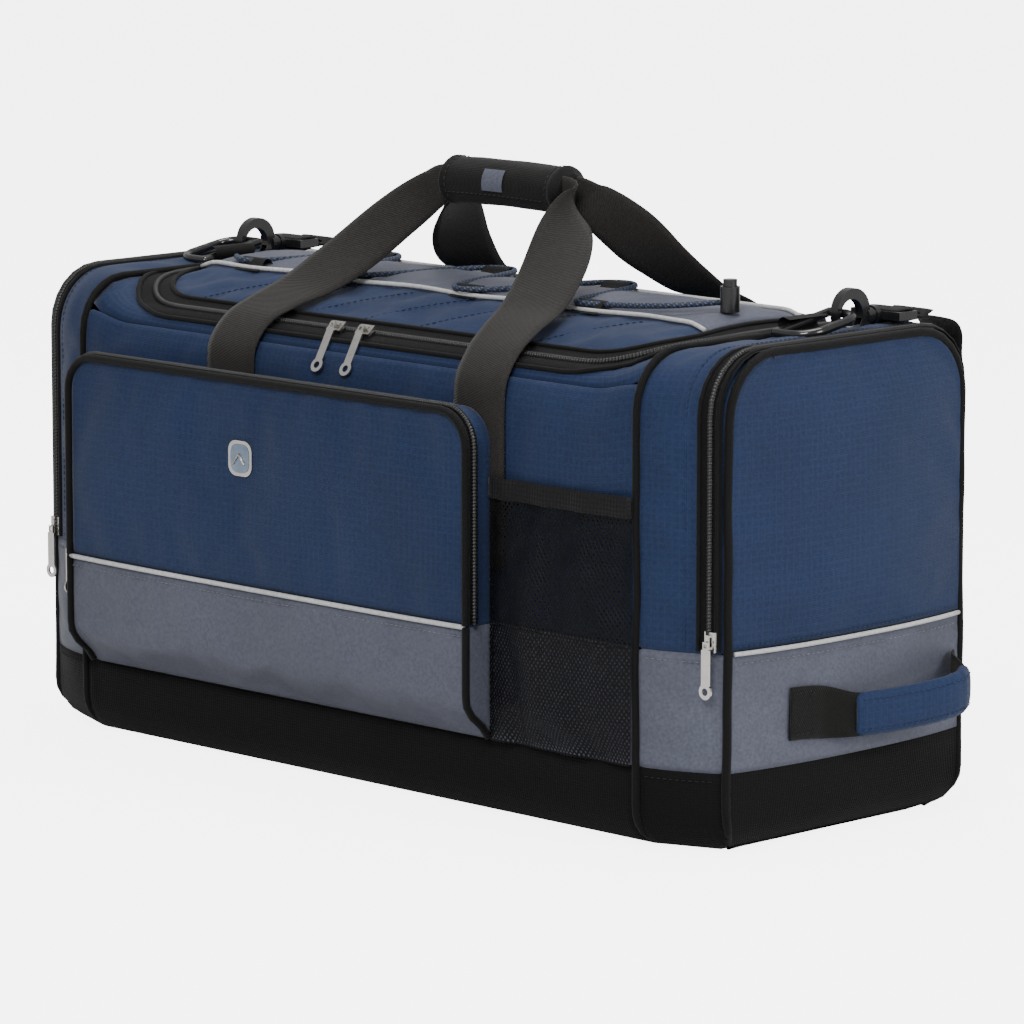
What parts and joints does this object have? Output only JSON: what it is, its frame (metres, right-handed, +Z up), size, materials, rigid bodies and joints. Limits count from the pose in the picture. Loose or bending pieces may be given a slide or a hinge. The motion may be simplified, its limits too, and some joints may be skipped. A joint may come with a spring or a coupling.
{
  "type": "travel duffel bag",
  "caption": "Large soft travel duffel with zipped lid, front flap pocket, mesh pocket, end pockets, webbing carry handles and a shoulder strap.",
  "frame": {"origin": "on the floor, at the middle of the base", "axes": "+X along the length to the right end, -Y towards the front pocket, +Z up"},
  "size_m": [0.8, 0.349, 0.449],
  "materials": {
    "navy_fabric": "woven ripstop polyester, soft sheen",
    "grey_fabric": "smooth coated nylon, satin",
    "base_fabric": "coarse coated base fabric, matt",
    "lining": "thin coated lining, matt",
    "piping": "fabric covered round piping",
    "zipper_tape": "woven zipper tape with nylon coil",
    "mesh": "open polyester mesh",
    "elastic": "ribbed elastic binding",
    "webbing": "twill woven webbing",
    "wrap_fabric": "padded brushed fabric",
    "shock_cord": "braided sleeve over elastic core",
    "black_plastic": "moulded acetal, semi gloss",
    "nickel": "polished nickel plate",
    "board": "stiffener board"
  },
  "bodies": {
    "shell": {"base_panel": "base_fabric", "base_board": "board", "front_panel": "navy_fabric", "rear_panel": "navy_fabric", "side_bands": "grey_fabric", "top_frame": "navy_fabric", "right_gusset": "navy_fabric", "left_gusset": "navy_fabric", "gusset_bands": "grey_fabric", "right_end_band": "grey_fabric", "left_end_band": "grey_fabric", "end_partitions": "lining", "piping": "piping", "lid_zipper_tape": "zipper_tape", "end_zipper_tapes": "zipper_tape", "front_pocket": "grey_fabric", "pocket_zipper_tape": "zipper_tape", "mesh_pocket": "mesh", "mesh_pocket_band": "elastic", "ring_tabs": "webbing", "handle_anchors": "webbing", "grab_tabs": "webbing"},
    "lid": {"lid_panel": "navy_fabric", "lid_strip": "grey_fabric", "lid_tabs": "webbing", "bungee_cord": "shock_cord", "cord_lock": "black_plastic"},
    "lock_button": {"cord_lock_button": "black_plastic"},
    "front_handle": {"front_webbing": "webbing", "handle_wrap": "wrap_fabric"},
    "rear_handle": {"rear_webbing": "webbing"},
    "pocket_flap": {"pocket_flap": "navy_fabric", "badge": "nickel"},
    "right_flap": {"right_end_flap": "navy_fabric"},
    "left_flap": {"left_end_flap": "navy_fabric"},
    "slider_main_left": {"main_slider_left": "nickel"},
    "slider_main_right": {"main_slider_right": "nickel"},
    "slider_right_end": {"right_end_slider": "nickel"},
    "slider_left_end": {"left_end_slider": "nickel"},
    "slider_pocket": {"pocket_slider": "nickel"},
    "pull_main_left": {"main_pull_left": "nickel"},
    "pull_main_right": {"main_pull_right": "nickel"},
    "pull_right_end": {"right_end_pull": "nickel"},
    "pull_left_end": {"left_end_pull": "nickel"},
    "pull_pocket": {"pocket_pull": "nickel"},
    "ring_right": {"right_ring": "black_plastic"},
    "ring_left": {"left_ring": "black_plastic"},
    "strap": {"shoulder_strap": "webbing", "shoulder_pad": "wrap_fabric", "strap_glides": "black_plastic", "right_swivel": "black_plastic", "left_swivel": "black_plastic"},
    "hook_right": {"right_hook": "black_plastic"},
    "hook_left": {"left_hook": "black_plastic"},
    "gate_right": {"right_gate": "nickel"},
    "gate_left": {"left_gate": "nickel"},
    "grab_right": {"right_grab_webbing": "webbing", "right_grab_sleeve": "navy_fabric"},
    "grab_left": {"left_grab_webbing": "webbing", "left_grab_sleeve": "navy_fabric"}
  },
  "joints": [
    {"name": "lid_open", "type": "hinge", "parent": "shell", "child": "lid", "pos_m": [0, 0.1187, 0.331], "axis": [1, 0, 0], "range_deg": [-75, 0]},
    {"name": "front_handle_turn", "type": "hinge", "parent": "shell", "child": "front_handle", "pos_m": [0, -0.165, 0.27], "axis": [1, 0, 0], "range_deg": [0, 165]},
    {"name": "rear_handle_turn", "type": "hinge", "parent": "shell", "child": "rear_handle", "pos_m": [0, 0.165, 0.27], "axis": [1, 0, 0], "range_deg": [-100, 0]},
    {"name": "cord_lock_press", "type": "slide", "parent": "lid", "child": "lock_button", "axis": [0, 0, -1], "range_m": [0, 0.004], "stiffness_N_per_m": 600, "springref_m": -0.001},
    {"name": "pocket_flap_open", "type": "hinge", "parent": "shell", "child": "pocket_flap", "pos_m": [0, -0.177, 0.141], "axis": [1, 0, 0], "range_deg": [0, 90]},
    {"name": "right_flap_open", "type": "hinge", "parent": "shell", "child": "right_flap", "pos_m": [0.355, 0, 0.141], "axis": [0, 1, 0], "range_deg": [0, 90]},
    {"name": "left_flap_open", "type": "hinge", "parent": "shell", "child": "left_flap", "pos_m": [-0.355, 0, 0.141], "axis": [0, -1, 0], "range_deg": [0, 90]},
    {"name": "main_zip_left", "type": "slide", "parent": "shell", "child": "slider_main_left", "axis": [1, 0, 0], "range_m": [-0.052, 0]},
    {"name": "main_zip_right", "type": "slide", "parent": "shell", "child": "slider_main_right", "axis": [1, 0, 0], "range_m": [0, 0.1]},
    {"name": "right_end_zip", "type": "slide", "parent": "shell", "child": "slider_right_end", "axis": [0, 0, 1], "range_m": [0, 0.14]},
    {"name": "left_end_zip", "type": "slide", "parent": "shell", "child": "slider_left_end", "axis": [0, 0, 1], "range_m": [0, 0.14]},
    {"name": "pocket_zip", "type": "slide", "parent": "shell", "child": "slider_pocket", "axis": [0, 0, 1], "range_m": [0, 0.11]},
    {"name": "main_pull_left_swing", "type": "hinge", "parent": "slider_main_left", "child": "pull_main_left", "pos_m": [-0.03, -0.13026, 0.3356], "axis": [-1, 0, 0], "range_deg": [0, 130]},
    {"name": "main_pull_right_swing", "type": "hinge", "parent": "slider_main_right", "child": "pull_main_right", "pos_m": [0, -0.13026, 0.3356], "axis": [-1, 0, 0], "range_deg": [0, 130]},
    {"name": "right_end_pull_swing", "type": "hinge", "parent": "slider_right_end", "child": "pull_right_end", "pos_m": [0.343, -0.1336, 0.15], "axis": [-1, 0, 0], "range_deg": [0, 130]},
    {"name": "left_end_pull_swing", "type": "hinge", "parent": "slider_left_end", "child": "pull_left_end", "pos_m": [-0.343, -0.1336, 0.15], "axis": [-1, 0, 0], "range_deg": [0, 130]},
    {"name": "pocket_pull_swing", "type": "hinge", "parent": "slider_pocket", "child": "pull_pocket", "pos_m": [-0.28, -0.169, 0.15], "axis": [0, 1, 0], "range_deg": [0, 130]},
    {"name": "right_ring_turn", "type": "hinge", "parent": "shell", "child": "ring_right", "pos_m": [0.299, 0.01, 0.353], "axis": [0, -0.9848, -0.1736], "range_deg": [0, 8]},
    {"name": "left_ring_turn", "type": "hinge", "parent": "shell", "child": "ring_left", "pos_m": [-0.295, 0.01, 0.353], "axis": [0, 0.9848, 0.1736], "range_deg": [0, 8]},
    {"name": "strap_swing", "type": "hinge", "parent": "shell", "child": "strap", "pos_m": [0, 0.0376, 0.3579], "axis": [1, 0, 0], "range_deg": [0, 90]},
    {"name": "right_hook_swivel", "type": "hinge", "parent": "strap", "child": "hook_right", "pos_m": [0.311, 0.06, 0.354], "axis": [0, 1, 0], "range_deg": [-8, 8]},
    {"name": "left_hook_swivel", "type": "hinge", "parent": "strap", "child": "hook_left", "pos_m": [-0.307, 0.06, 0.354], "axis": [0, 1, 0], "range_deg": [-8, 8]},
    {"name": "right_gate_press", "type": "hinge", "parent": "hook_right", "child": "gate_right", "pos_m": [0.311, 0.058, 0.3463], "axis": [-1, 0, 0], "range_deg": [0, 20], "stiffness_Nm_per_rad": 0.05, "springref_deg": -5.73},
    {"name": "left_gate_press", "type": "hinge", "parent": "hook_left", "child": "gate_left", "pos_m": [-0.307, 0.058, 0.3463], "axis": [-1, 0, 0], "range_deg": [0, 20], "stiffness_Nm_per_rad": 0.05, "springref_deg": -5.73},
    {"name": "right_grab_turn", "type": "hinge", "parent": "shell", "child": "grab_right", "pos_m": [0.355, 0.0205, 0.097], "axis": [0, -1, 0], "range_deg": [-30, 25]},
    {"name": "left_grab_turn", "type": "hinge", "parent": "shell", "child": "grab_left", "pos_m": [-0.355, 0.0205, 0.097], "axis": [0, 1, 0], "range_deg": [-30, 25]}
  ],
  "couplings": [
    {"joint": "front_handle_turn", "follows": "lid_open", "ratio": -2.2},
    {"joint": "rear_handle_turn", "follows": "lid_open", "ratio": 1.3333}
  ]
}
